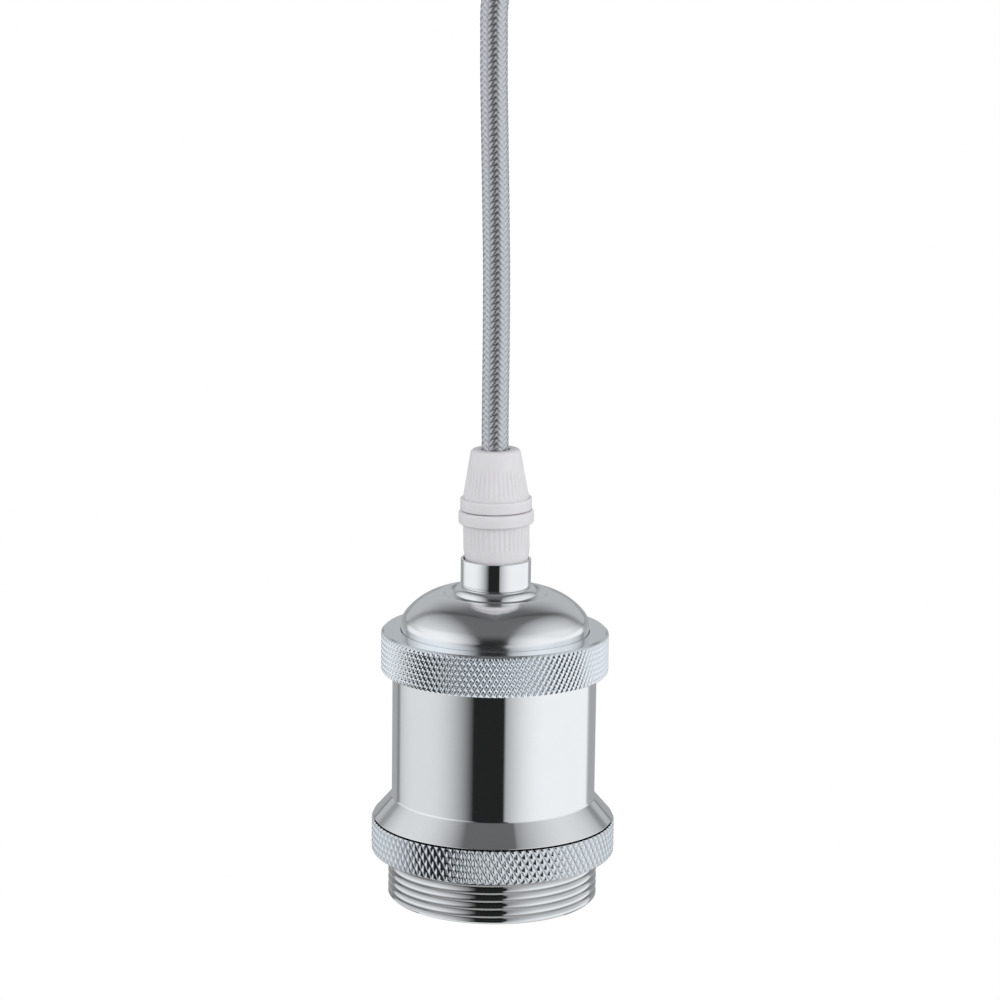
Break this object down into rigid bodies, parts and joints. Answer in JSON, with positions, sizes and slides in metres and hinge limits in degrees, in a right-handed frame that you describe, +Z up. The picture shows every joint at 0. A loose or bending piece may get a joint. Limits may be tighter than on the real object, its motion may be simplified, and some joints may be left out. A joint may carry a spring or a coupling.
{
  "type": "pendant light",
  "caption": "Pendant lamp holder in bright metal with knurled rings and domed cap, hung on a braided flex from a small ceiling rose.",
  "frame": {"origin": "middle of the ceiling rose's flat face, where it meets the ceiling", "axes": "+Z up into the ceiling along the axis the light hangs on; +X towards one of the rose's two side screws; the light hangs down in -Z"},
  "size_m": [0.085, 0.08, 0.2213],
  "materials": {
    "polished_metal": "mirror polished, bright",
    "satin_metal": "fine satin turned",
    "knurled_metal": "bright diamond knurl, satin faces",
    "nylon": "white translucent moulded nylon",
    "braid": "shiny silver-grey textile braid",
    "porcelain": "white glazed porcelain",
    "contact_brass": "bare, lightly bright",
    "plated_steel": "zinc plated",
    "core_brown": "smooth brown insulation",
    "core_blue": "smooth blue insulation",
    "core_green": "smooth green insulation with a yellow stripe"
  },
  "bodies": {
    "holder": {"rose_cover": "polished_metal", "rose_bracket": "plated_steel", "rose_side_screw_1": "polished_metal", "rose_side_screw_2": "polished_metal", "rose_grip_body": "nylon", "rose_grip_nut": "nylon", "rose_grip_locknut": "plated_steel", "terminal_block": "nylon", "block_barrel_1": "contact_brass", "block_barrel_2": "contact_brass", "block_barrel_3": "contact_brass", "block_clamp_screw_1": "plated_steel", "block_clamp_screw_2": "plated_steel", "block_clamp_screw_3": "plated_steel", "block_clamp_screw_4": "plated_steel", "block_clamp_screw_5": "plated_steel", "block_clamp_screw_6": "plated_steel", "block_fixing_screw_1": "plated_steel", "block_fixing_screw_2": "plated_steel", "rose_core_live": "core_brown", "rose_core_neutral": "core_blue", "rose_core_earth": "core_green", "flex_cord": "braid", "grip_body": "nylon", "grip_nut": "nylon", "neck_bush": "polished_metal", "neck_bush_locknut": "plated_steel", "dome_cap": "satin_metal", "clamp_ring": "knurled_metal", "body_sleeve": "polished_metal", "holder_bridge": "plated_steel", "bridge_screw_1": "plated_steel", "bridge_screw_2": "plated_steel", "earth_tag": "contact_brass", "earth_screw": "contact_brass", "ceramic_core": "porcelain", "screw_shell": "contact_brass", "centre_contact": "contact_brass", "live_contact_screw": "contact_brass", "neutral_contact_screw": "contact_brass", "live_terminal": "contact_brass", "neutral_terminal": "contact_brass", "live_terminal_screw": "plated_steel", "neutral_terminal_screw": "plated_steel", "core_live": "core_brown", "core_neutral": "core_blue", "core_earth": "core_green"},
    "shade_ring": {"shade_ring": "knurled_metal"}
  },
  "joints": [
    {"name": "shade_ring_travel", "type": "slide", "parent": "holder", "child": "shade_ring", "axis": [0, 0, -1], "range_m": [0, 0.0088]}
  ]
}
